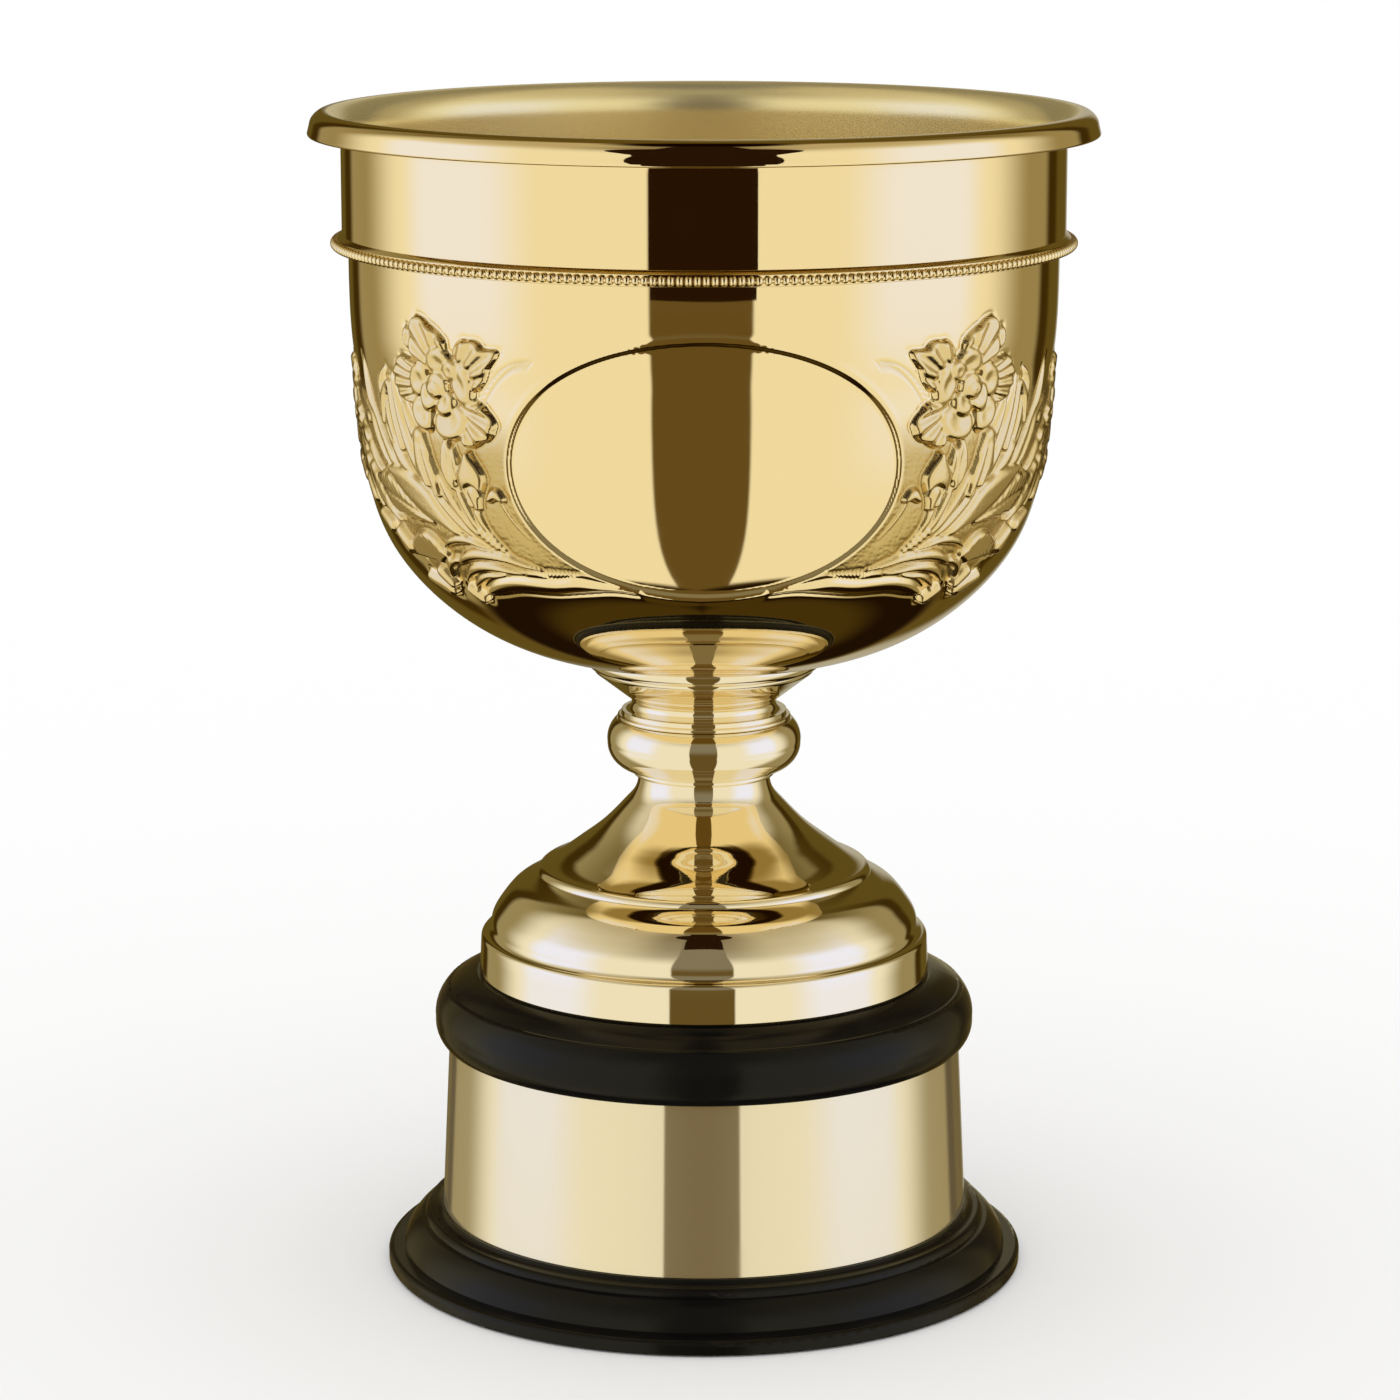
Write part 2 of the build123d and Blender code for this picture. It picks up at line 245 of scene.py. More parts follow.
HATCH_FROM, HATCH_LENGTH = 29.0, 15.0  # a patch with a straight top and a round foot
HATCH_TOP, HATCH_DROP, HATCH_ROUND = 63.4, 3.6, 0.7
HATCH_DEPTH, HATCH_PITCH = 0.16, 3 * CELL
SPRIGS, SPRIG_STEP, SPRIG_FALL = 14, 0.95, 0.06


def bent_line(points, count=48):
    """Points spread along a smooth line through the given ones."""
    points = np.asarray(points, float)
    padded = np.concatenate([2 * points[:1] - points[1:2], points, 2 * points[-1:] - points[-2:-1]])
    place = np.linspace(0, len(points) - 1, count)
    i = np.minimum(place.astype(int), len(points) - 2)
    t = (place - i).reshape((-1,) + (1,) * (points.ndim - 1))
    a, b, c, d = (padded[i + k] for k in range(4))
    return b + t * (c - a + t * (2 * a - 5 * b + 4 * c - d + t * (3 * (b - c) + d - a))) / 2


def pillow(inside, soft):
    """0 at the edge, rising like a quarter round to 1 at the depth soft."""
    depth = np.clip(inside / soft, 0, 1)
    return np.sqrt(1 - (1 - depth) ** 2)


def fade(value, low, high):
    """0 below low and 1 above high, smooth between."""
    t = np.clip((value - low) / (high - low), 0, 1)
    return t * t * (3 - 2 * t)


def ridge(distance, width):
    """1 where the distance is 0, dying away over the width on both sides."""
    return np.exp(-((distance / width) ** 2))


class Sheet:
    """Heights, and matting with its painted shade, over one quarter of the bowl, with the tools that chase
    shapes into it.
    """

    def __init__(self):
        self.u = np.linspace(0, QUARTER, round(QUARTER / CELL) + 1)
        self.v = np.arange(RELIEF_LOW, RELIEF_HIGH, CELL)
        self.grid_u, self.grid_v = np.meshgrid(self.u, self.v)
        self.height = np.zeros_like(self.grid_u)
        self.matt_and_shade = np.zeros_like(self.grid_u)

    def patch(self, points, margin):
        """Where a shape can reach: the index slices, and the grid there."""
        low = np.min(points, axis=0) - margin
        high = np.max(points, axis=0) + margin
        rows = slice(*np.searchsorted(self.v, (low[1], high[1])))
        columns = slice(*np.searchsorted(self.u, (low[0], high[0])))
        return (rows, columns), self.grid_u[rows, columns], self.grid_v[rows, columns]

    def lay(self, where, inside, top, groove=GROOVE, matt_and_shade=MATT_SHAPES):
        """Lays a surface where inside > 0, with a tooled groove round its edge."""
        share = fade(inside, EDGE_FROM, EDGE_TO)
        self.height[where] = self.height[where] * (1 - share) + BOLDNESS * top * share
        self.height[where] -= groove * ridge(inside, GROOVE_WIDTH)
        self.matt_and_shade[where] = self.matt_and_shade[where] * (1 - share) + matt_and_shade * share

    def blade(self, points, half_widths, level=0.1, rise=0.6, soft=None, midrib=0.0, veins=0.0,
              ruffle=0.0, groove=GROOVE):
        """A leaf, stalk or bud along a bent line, its half-widths given at even shares of the way."""
        line = bent_line(points)
        where, u, v = self.patch(points, max(half_widths) + MARGIN)
        du, dv = u[..., None] - line[:, 0], v[..., None] - line[:, 1]
        nearest = np.argmin(du**2 + dv**2, axis=-1)
        tangent = np.gradient(line, axis=0)
        spacing = np.linalg.norm(tangent, axis=1)
        tangent = tangent / spacing[:, None]
        du = np.take_along_axis(du, nearest[..., None], -1)[..., 0]
        dv = np.take_along_axis(dv, nearest[..., None], -1)[..., 0]
        forward = du * tangent[nearest, 0] + dv * tangent[nearest, 1]
        across = du * tangent[nearest, 1] - dv * tangent[nearest, 0]
        last = len(line) - 1
        place = nearest + forward / spacing[nearest]
        beyond = (np.maximum(-place, 0) + np.maximum(place - last, 0)) * spacing[nearest]
        place = np.clip(place, 0, last)
        half = np.maximum(np.interp(place, np.arange(len(line)), bent_line(half_widths)), 0)
        half = half * (1 - ruffle * np.abs(np.sin(place / last * math.pi * RUFFLES)))
        inside = half - np.hypot(across, beyond)
        widest = np.maximum(half, THINNEST_BLADE)
        top = level + rise * pillow(inside, widest if soft is None else np.minimum(widest, soft))
        top = top + midrib * ridge(across, MIDRIB_WIDTH)
        slant = place * np.mean(spacing) - np.abs(across)
        top = top + veins * np.cos(TAU * slant / VEIN_PITCH) * fade(np.abs(across), 0.2, 1.0)
        self.lay(where, inside, top, groove)

    def fan(self, root, reaches, level=0.1, ribs=5):
        """A ruffled leaf spreading from a root: reaches are (angle in degrees, length) pairs."""
        angles, lengths = np.array(reaches, float).T
        root = np.array(root)
        heading = np.radians(angles)
        edge = root + lengths[:, None] * np.stack([np.cos(heading), np.sin(heading)], axis=-1)
        where, u, v = self.patch(np.vstack([edge, root]), MARGIN)
        reach = np.hypot(u - root[0], v - root[1])
        middle = (angles[0] + angles[-1]) / 2
        turn = np.degrees(np.arctan2(v - root[1], u - root[0]))
        turn = (turn - middle + 180) % 360 - 180 + middle
        share = (turn - angles[0]) / (angles[-1] - angles[0])
        limit = np.interp(turn, bent_line(angles), bent_line(lengths))
        limit = limit - FAN_SCALLOP * (1 - np.abs(np.sin(share * math.pi * ribs)) ** 0.7)
        from_first = np.sin(np.radians(np.clip(turn - angles[0], -90, 90)))
        from_last = np.sin(np.radians(np.clip(angles[-1] - turn, -90, 90)))
        inside = np.minimum(limit - reach, np.minimum(from_first, from_last) * reach)
        out = np.clip(reach / np.maximum(limit, 0.1), 0, 1)
        top = level + FAN_RISE * pillow(inside, FAN_SOFT) + FAN_LIFT * out**3
        top = top + FAN_RIB * np.cos(TAU * share * ribs) * fade(out, 0.15, 0.6)
        self.lay(where, inside, top, FAN_GROOVE)

    def petal(self, centre, radii, turn, level, rise, heart, lean, groove=GROOVE):
        """A cupped petal, high at its outer edge and falling towards the heart of the flower."""
        where, u, v = self.patch([centre], max(radii) + MARGIN)
        angle = math.radians(turn)
        x = (u - centre[0]) * math.cos(angle) + (v - centre[1]) * math.sin(angle)
        y = (v - centre[1]) * math.cos(angle) - (u - centre[0]) * math.sin(angle)
        share = np.hypot(x / radii[0], y / radii[1])
        inside = (1 - share) * min(radii)
        farthest = math.dist(centre, heart) + min(radii)
        outward_share = np.hypot(u - heart[0], v - heart[1]) / farthest
        top = level + rise * pillow(inside, PETAL_SOFT) + lean * (outward_share - 1)
        top = top - PETAL_DISH * rise * ridge(share, DISH_SIZE)
        self.lay(where, inside, top, groove)

    def whorl(self, centre, radii, level, rise, pitch):
        """A tight bud seen from above: a dome with a groove that winds out from its middle."""
        where, u, v = self.patch([centre], max(radii) + MARGIN)
        x, y = (u - centre[0]) / radii[0], (v - centre[1]) / radii[1]
        share = np.hypot(x, y)
        inside = (1 - share) * min(radii)
        winding = (share * min(radii) / pitch - np.arctan2(y, x) / TAU) % 1 - 0.5
        top = level + rise * np.sqrt(np.clip(1 - share**2, 0, 1))
        top = top - WHORL_CUT * ridge(winding, WHORL_LINE) * fade(inside, 0.1, 0.8)
        self.lay(where, inside, top)


def matted_ground(sheet):
    """The ground round the foliage: sunk a little and stippled, between the oval and the buds."""
    low_edge = bent_line([(0, 60), (30, 61.5), (50, 60), (64, 56), (78, 57), (87, 66), (96, 70),
                          (104, 76), (115, 80), (QUARTER, 81)], count=200)
    above = sheet.grid_v - np.interp(sheet.grid_u, low_edge[:, 0], low_edge[:, 1])
    outside_oval = -inside_oval(sheet.grid_u, sheet.grid_v)
    below = GROUND_TOP + GROUND_RISE * fade(sheet.grid_u, RISE_FROM, RISE_TO) - sheet.grid_v
    share = fade(above, 0, 1.2) * fade(outside_oval, 0.5, 1.5) * fade(below, -6, 6)
    sheet.height -= GROUND_DEPTH * share
    # the matting share, which also sets where the bowl is painted darker as shade
    sheet.matt_and_shade = share


def inside_oval(u, v):
    """Distance in from the edge of the plain oval, negative outside it."""
    across, up = u / OVAL_HALF[0], (v - OVAL_CENTRE[1]) / OVAL_HALF[1]
    share = np.hypot(across, up)
    slope = np.hypot(across / OVAL_HALF[0], up / OVAL_HALF[1]) / np.maximum(share, 0.01)
    return (1 - share) / np.maximum(slope, 0.01)


def oval(sheet):
    """The plain polished oval: a table let in below the wall, its slope widest at the top."""
    inside = inside_oval(sheet.grid_u, sheet.grid_v)
    upper = np.clip((sheet.grid_v - OVAL_CENTRE[1]) / OVAL_HALF[1], 0, 1)
    reach = OVAL_SLOPE + (OVAL_SLOPE_TOP - OVAL_SLOPE) * upper
    sheet.height -= OVAL_DEPTH * np.clip((inside + reach) / (2 * reach), 0, 1)
    sheet.height += OVAL_LIP * ridge(inside - LIP_PLACE, LIP_WIDTH)
    sheet.matt_and_shade *= 1 - fade(inside, -0.9, -0.3)


def border(sheet):
    """The polished wave that closes the panel below, and its end against the buds."""
    top = bent_line([(14, 57.4), (22, 59.2), (30, 60.6), (38, 59.6), (48, 59.4), (55, 57.6),
                     (61.5, 53.6)], count=120)
    low = bent_line([(14, 56.8), (22, 57.6), (30, 56.6), (38, 55.4), (48, 55.0), (55, 53.4),
                     (61.5, 52.2)], count=120)
    high = np.interp(sheet.grid_u, top[:, 0], top[:, 1], left=0, right=0)
    deep = np.interp(sheet.grid_u, low[:, 0], low[:, 1], left=99, right=99)
    inside = np.minimum(high - sheet.grid_v, sheet.grid_v - deep)
    inside = np.minimum(inside, np.minimum(sheet.grid_u - 16, 62 - sheet.grid_u))
    everywhere = (slice(None), slice(None))
    sheet.lay(everywhere, inside, 0.05 + 0.35 * pillow(inside, 1.2), groove=0.25, matt_and_shade=0.1)


def blades(sheet, shapes, **look):
    """Several blades alike: shapes are (points, half-widths) pairs."""
    for points, half_widths in shapes:
        sheet.blade(points, half_widths, **look)


def side_blades(sheet):
    """Long blades that sweep up to the side, and a hook-shaped leaf with a plain heart."""
    blades(sheet, (
        (((62, 70), (76, 78), (88, 86), (97, 97), (101.5, 108)), (0.8, 2.6, 2.4, 1.4, 0.1)),
        (((66, 72), (78, 82), (86, 92), (89, 102), (86, 107)), (0.6, 2.0, 2.2, 1.8, 0.1)),
        (((64, 73), (74, 84), (80, 94), (83.5, 105.5)), (0.5, 1.9, 2.0, 0.2)),
        (((62, 74), (70, 84), (76, 94), (79, 101)), (0.5, 1.6, 1.7, 0.3)),
        (((84, 80), (92, 88), (98, 95), (108, 99)), (0.6, 1.8, 1.6, 0.1)),
        (((92, 80), (101, 86), (110, 93), (117, 103)), (0.6, 1.8, 1.7, 0.1)),
        (((98, 78), (108, 84), (117, 92), (QUARTER, 108)), (0.6, 2.2, 2.4, 0.2)),
    ), level=0.0, rise=0.55, midrib=0.12)
    hook = [(80, 88), (83, 96), (84.5, 103), (87.5, 100), (88.6, 93)]
    sheet.blade(hook, (0.9, 1.3, 1.1, 1.2, 0.5), level=0.15)
    sheet.blade([(84, 90), (86, 95), (86.2, 99)], (0.8, 1.5, 0.2), rise=0.4)


def broad_leaves(sheet):
    """Broad ruffled leaves at the side, and a plain one over their roots."""
    sheet.blade([(72, 72), (82, 75), (92, 77), (99, 79)], (1.5, 4.2, 4.6, 0.6),
                level=0.05, soft=1.6, midrib=-0.15, veins=0.05, ruffle=0.10)
    blades(sheet, (
        (((86, 70), (94, 74), (101, 79), (107, 85)), (0.8, 2.8, 3.0, 0.3)),
        (((96, 72), (105, 79), (114, 86), (122, 92)), (0.8, 3.0, 3.0, 0.2)),
    ), soft=1.4, midrib=0.15, ruffle=0.12)
    sheet.blade([(60, 68), (70, 75), (80, 80), (89, 83)], (0.8, 3.4, 3.2, 0.5),
                level=0.15, rise=0.7, soft=2.2)


def rose_leaves(sheet):
    """Ruffled leaves behind the rose."""
    sheet.fan((67, 108), ((22, 4), (38, 10), (50, 12.6), (62, 9)), level=0.0, ribs=2)
    sheet.fan((63.5, 107), ((12, 5), (24, 9.8), (43, 13.0), (58, 15.6), (70, 14.0), (86, 10.8),
                            (104, 9.0), (120, 4)))
    sheet.fan((60, 105), ((96, 6), (104, 11), (122, 13.4), (138, 14.4), (147, 16.5), (158, 12),
                          (178, 9), (194, 5)))
    sheet.fan((66, 104), ((-38, 6), (-22, 11.5), (-8, 13.5), (8, 14.6), (22, 14.2), (34, 12.5),
                          (50, 6)), ribs=7)
    sheet.fan((60.5, 101), ((165, 7), (182, 10.6), (200, 13.8), (214, 13.4), (232, 12), (248, 11),
                            (262, 6)))


def stems(sheet):
    """Stems that gather towards the foot of the oval."""
    blades(sheet, (
        (((47, 64.5), (52.5, 69.5), (55.4, 75), (56.6, 81)), (0.4, 1.1, 1.3, 1.3)),
        (((49, 64.8), (55.5, 70.5), (59, 76), (62, 83)), (0.4, 1.1, 1.2, 0.8)),
        (((51, 65.4), (58, 71), (63, 77), (67, 83)), (0.4, 1.1, 1.3, 1.0)),
        (((53, 66.0), (61, 71.5), (68, 78), (72, 85)), (0.4, 1.1, 1.3, 1.0)),
        (((41.5, 70.0), (45.6, 74.6), (48.8, 79.6)), (0.15, 0.35, 0.4)),
    ), level=-0.05, rise=0.45)


def upright_leaves(sheet):
    """Upright leaves and buds below the rose."""
    sheet.blade([(70.5, 81), (71.5, 86), (72.5, 92)], (1.2, 3.2, 2.3), level=0.3, rise=0.7, soft=2.4)
    sheet.blade([(67, 78.5), (69, 84), (71.5, 90.5)], (0.6, 1.8, 0.3), level=0.35, rise=0.5, midrib=0.15)
    sheet.blade([(62, 80.5), (62.4, 86), (63.5, 93.5)], (0.5, 3.1, 0.3), level=0.35, soft=1.6, midrib=-0.25)
    sheet.blade([(59.5, 80.5), (60.2, 86), (61, 91)], (0.4, 1.2, 0.2), level=0.3, rise=0.5)
    sheet.blade([(55.6, 78.5), (56.0, 84.0), (56.2, 89.5)], (2.0, 4.2, 1.0), level=0.3, rise=1.15)
    sheet.blade([(54.6, 77), (55.6, 80.5)], (1.0, 2.0), level=0.3)
    sheet.blade([(47.4, 79.6), (49.4, 80.6), (51.2, 79.2)], (0.9, 1.7, 0.9), level=0.2, rise=0.8)


def rose(sheet, u, v):
    """An open rose: six outer petals, three inner ones and the whorl at its heart."""
    heart = (u, v)
    for offset, radii, turn, level in (
        ((-3.6, -7.0), (5.6, 4.4), -20, 0.60),
        ((5.6, -6.0), (3.4, 4.6), -35, 0.60),
        ((-7.6, 2.0), (3.5, 5.2), -15, 0.65),
        ((5.9, 2.0), (3.3, 4.4), 15, 0.65),
        ((-1.0, 6.7), (4.0, 3.6), 0, 0.70),
        ((-4.6, 5.0), (2.4, 2.8), 35, 0.77),
    ):
        sheet.petal((u + offset[0], v + offset[1]), radii, turn, level, 0.75, heart, lean=0.7)
    for offset, radii, turn, level in (
        ((-2.6, -2.6), (3.4, 3.0), -40, 1.05),
        ((2.4, -1.4), (2.8, 3.8), 10, 1.10),
        ((-0.4, 1.2), (3.6, 3.2), 0, 1.15),
    ):
        sheet.petal((u + offset[0], v + offset[1]), radii, turn, level, 0.5, heart, lean=0.4)
    sheet.whorl((u, v + 0.6), (2.6, 2.5), level=1.3, rise=0.6, pitch=1.1)


def side_flower(sheet):
    """The flower at the side, half of it in this quarter, with its leaves and three small buds."""
    sheet.fan((118, 96), ((70, 4), (86, 9), (104, 11), (124, 10.5), (142, 9), (160, 5)), ribs=6)
    sheet.fan((117, 94), ((160, 4), (178, 9), (196, 11), (214, 10), (232, 5)), ribs=6)
    rose(sheet, QUARTER, 94.0)
    for u, v, radii, turn in (
        (98.8, 93.0, (2.3, 1.7), 20),
        (103.5, 88.0, (2.6, 1.8), 30),
        (104.5, 81.5, (2.4, 2.2), 10),
    ):
        sheet.petal((u, v), radii, turn, level=0.35, rise=0.8, heart=(u, v - 3), lean=0.1)


def fern(sheet):
    """The twisted bract, and the scalloped fern below it."""
    scallops = 6
    for step in range(scallops):
        share = step / (scallops - 1)
        sheet.petal((50.2 + 5.6 * share, 66.2 + 4.4 * share), (1.7, 0.75), -35, level=0.2, rise=0.5,
                    heart=(53, 60), lean=0.0, groove=0.18)
    blades(sheet, (
        (((40, 62.3), (50, 64.6), (60, 64.2), (68, 60.6)), (0.3, 1.3, 1.7, 0.5)),
        (((46, 61.0), (54, 61.6), (61, 60.2), (65.5, 56.6)), (0.3, 1.4, 1.8, 0.6)),
        (((54, 66.6), (60, 68.2), (66, 67.4), (69.5, 65.0)), (0.3, 1.2, 1.3, 0.4)),
        (((52, 59.6), (57, 59.0), (61.5, 56.6), (63.4, 54.4)), (0.3, 1.0, 1.2, 0.4)),
    ))
    sheet.blade([(71, 62.6), (76, 64.6), (83, 63.2)], (2.6, 4.0, 2.4), level=0.15, soft=1.3, veins=0.04)
    sheet.blade([(66, 62.5), (69.5, 60.5), (70.5, 57.4)], (0.8, 1.6, 1.0), level=0.2)


def edge_buds(sheet):
    """Buds along the lower edge."""
    blades(sheet, (
        (((62.4, 51.6), (65.4, 54.6)), (1.9, 1.3)),
        (((75.0, 52.6), (81.6, 55.4)), (2.6, 1.9)),
        (((72.0, 55.0), (74.6, 58.0)), (1.7, 1.9)),
        (((86.4, 63.4), (88.4, 66.6)), (2.7, 1.9)),
        (((93.4, 67.4), (98.0, 69.8)), (2.1, 1.6)),
        (((102.6, 73.6), (105.6, 77.2)), (2.1, 1.7)),
        (((110.0, 77.4), (113.6, 79.6)), (2.0, 1.5)),
        (((118.0, 79.6), (121.6, 81.0)), (2.0, 1.5)),
        (((QUARTER, 79.0), (QUARTER, 84.0)), (2.4, 1.4)),
    ), level=0.25, rise=1.0)


def foliage(sheet):
    """The leaves, buds and stalks of one quarter, laid from the lowest to the topmost."""
    side_blades(sheet)
    broad_leaves(sheet)
    rose_leaves(sheet)
    stems(sheet)
    upright_leaves(sheet)
    rose(sheet, 64.4, 103.6)
    side_flower(sheet)
    fern(sheet)
    edge_buds(sheet)


def softened(height):
    """Evens each height out with its neighbours, as the punches leave no sharp step in the metal."""
    padded = np.pad(height, 1, mode="edge")
    height = (padded[:-2, 1:-1] + 4 * height + padded[2:, 1:-1]) / 6
    padded = np.pad(height, 1, mode="edge")
    return (padded[1:-1, :-2] + 4 * height + padded[1:-1, 2:]) / 6


def engraving(sheet):
    """Fine tool work: the hatched patch at the foot of the oval and the sprigs beside its top."""
    share = np.clip((sheet.grid_u - HATCH_FROM) / HATCH_LENGTH, 0, 1)
    low = HATCH_TOP - HATCH_DROP * np.sin(math.pi * share) ** HATCH_ROUND
    hatched = fade(np.minimum(sheet.grid_v - low, HATCH_TOP - sheet.grid_v), 0, 0.5)
    sheet.height -= HATCH_DEPTH * hatched * (1 + np.cos(TAU * sheet.grid_u / HATCH_PITCH))
    for step in range(SPRIGS):
        u, v = 38.0 + SPRIG_STEP * step, 112.5 - SPRIG_FALL * step**2
        blades(sheet, (
            (((u, v), (u + 1.9, v - 2.4)), (0.2, 0.28, 0.1)),
            (((u + 1.0, v + 0.2), (u + 3.2, v - 0.9)), (0.2, 0.28, 0.1)),
        ), level=-0.14, rise=0.0, groove=0.0)


def chased_sheet():
    """The whole relief, from the ground up."""
    sheet = Sheet()
    matted_ground(sheet)
    oval(sheet)
    border(sheet)
    foliage(sheet)
    to_side = 1 - 0.5 * fade(sheet.grid_u, SHALLOW_FROM, SHALLOW_TO)
    sheet.height = softened(sheet.height) * to_side
    engraving(sheet)
    stipple = np.random.default_rng(SEED).normal(size=sheet.height.shape)
    sheet.height += STIPPLE * sheet.matt_and_shade**2 * stipple
    return sheet


# ------------------------------ chased bowl and its beads
INNER_STEP = 2.0 * MM  # the plain inside needs no finer rows
PLAIN_STEP = 1.0  # mm, rows above and below the relief


def all_round(quarter):
    """A quarter's columns mirrored to the full turn, without repeating the shared ones."""
    half = np.concatenate([quarter, quarter[:, -2::-1]], axis=1)
    return np.concatenate([half[:, :-1]] * 2, axis=1)


def split_at_rim(outline):
    """The closed outline of an open vessel as its outside, rim to seat, and all the rest."""
    radius, height = outline.T
    at_top = height > height.max() - SEAM_TOLERANCE
    at_bottom = height < height.min() + SEAM_TOLERANCE
    rim = int(np.argmax(np.where(at_top, radius, 0)))
    outline = np.roll(outline, -rim, axis=0)
    seat = int(np.argmax(np.where(np.roll(at_bottom, -rim), outline[:, 0], 0)))
    return outline[: seat + 1], outline[seat + 1 :]


def chased_bowl(sheet):
    """The bowl with the sheet's relief on its outside, and its plain inside."""
    outside, _ = split_at_rim(turned_outline("bowl"))
    _, inside = split_at_rim(turned_outline("bowl", INNER_STEP))
    steps = np.linalg.norm(np.diff(outside, axis=0), axis=1) / MM
    climb = np.append(np.cumsum(steps[::-1])[::-1], 0.0)  # distance up from the seat
    above = np.arange(climb[0], RELIEF_HIGH + PLAIN_STEP / 2, -PLAIN_STEP)
    below = np.arange(RELIEF_LOW - PLAIN_STEP / 2, 0.0, -PLAIN_STEP)
    rows = np.concatenate([above, sheet.v[::-1], below, [0.0]])
    radius = np.interp(rows, climb[::-1], outside[::-1, 0])
    height = np.interp(rows, climb[::-1], outside[::-1, 1])
    slope = np.stack([np.gradient(radius, rows), np.gradient(height, rows)])
    normal = np.stack([slope[1], -slope[0]]) / np.linalg.norm(slope, axis=0)
    raised = np.zeros((len(rows) + len(inside), 4 * (len(sheet.u) - 1)))
    first = int(np.searchsorted(-rows, -sheet.v[-1]))
    worked = slice(first, first + len(sheet.v))
    raised[worked] = all_round(sheet.height[::-1]) * MM
    # matting per vertex: roughness, and the painted shade of the bowl's material
    matt_and_shade = np.zeros_like(raised)
    matt_and_shade[worked] = all_round(sheet.matt_and_shade[::-1])
    flat = np.zeros(len(inside))
    radius = np.append(radius, inside[:, 0])[:, None] + np.append(normal[0], flat)[:, None] * raised
    height = np.append(height, inside[:, 1])[:, None] + np.append(normal[1], flat)[:, None] * raised
    columns = raised.shape[1]
    angle = np.arange(columns) / columns * TAU  # from the front, towards +X
    rings = np.stack([radius * np.sin(angle), -radius * np.cos(angle), height], axis=-1)
    made = skin("bowl_skin", rings)
    made.data.attributes.new("matt_and_shade", "FLOAT", "POINT").data.foreach_set("value", matt_and_shade.ravel())
    made.data.materials.append(bowl_gold)
    return stands_for(made, "gold_polished", "bowl")


BEADS = 281
BEAD_DEPTH, BEAD_WIDTH = 0.92, 0.94  # shares of the ring's half-height and of the beads' pitch
BEAD_SIDES, BEAD_BANDS = 16, 10
WIRE_RADIUS = 0.5  # of the bead's depth
WIRE_SIDES = 12


def unit_ball():
    """Vertices and faces of a ball of radius 1: bands of quads between two fans of triangles."""
    slope = np.arange(1, BEAD_BANDS)[:, None] / BEAD_BANDS * math.pi
    turn = np.arange(BEAD_SIDES) / BEAD_SIDES * TAU
    height = np.broadcast_to(-np.cos(slope), (BEAD_BANDS - 1, BEAD_SIDES))
    rings = np.stack([np.sin(slope) * np.cos(turn), np.sin(slope) * np.sin(turn), height], axis=-1)
    vertices = np.vstack([rings.reshape(-1, 3), (0, 0, -1), (0, 0, 1)])
    bottom, top = len(vertices) - 2, len(vertices) - 1
    top_ring = (BEAD_BANDS - 2) * BEAD_SIDES
    faces = []
    for j in range(BEAD_SIDES):
        k = (j + 1) % BEAD_SIDES
        faces.append([bottom, k, j])
        faces.append([top, top_ring + j, top_ring + k])
        for ring in range(0, top_ring, BEAD_SIDES):
            faces.append([ring + j, ring + k, ring + BEAD_SIDES + k, ring + BEAD_SIDES + j])
    return vertices, faces


def bead_ring(node):
    """Round beads on a thin wire, in the space that the CAD ring holds."""
    outline = seam_points(node)
    low, high = outline[:, 1].min(), outline[:, 1].max()
    middle, half_height = (high + low) / 2, (high - low) / 2
    depth = BEAD_DEPTH * half_height
    radius = outline[:, 0].max() - depth
    half_width = BEAD_WIDTH * math.pi * radius / BEADS
    around = np.arange(WIRE_SIDES) / WIRE_SIDES * TAU
    thin = WIRE_RADIUS * depth
    wire = np.stack([radius + thin * np.cos(around), middle + thin * np.sin(around)], axis=-1)
    wire_vertices, wire_faces = grid(turned_rings(outward(wire)))
    ball, bead_faces = unit_ball()
    bead = ball * (depth, half_width, half_height) + (radius, 0, middle)
    vertices, faces = [wire_vertices], wire_faces.tolist()
    for step in range(BEADS):
        first = len(wire_vertices) + step * len(bead)
        turn = np.array(Matrix.Rotation(TAU * step / BEADS, 3, "Z"))
        vertices.append(bead @ turn.T)
        faces += [[first + index for index in face] for face in bead_faces]
    made = smooth_mesh(node + "_skin", np.vstack(vertices), faces)
    made.data.materials.append(rim_gold)
    stands_for(made, "gold_polished", node)


# ------------------------------ node tree shorthand
MIX_INPUTS, MIX_RESULT = (0, 6, 7), 2  # the Mix node's sockets for its factor and colours


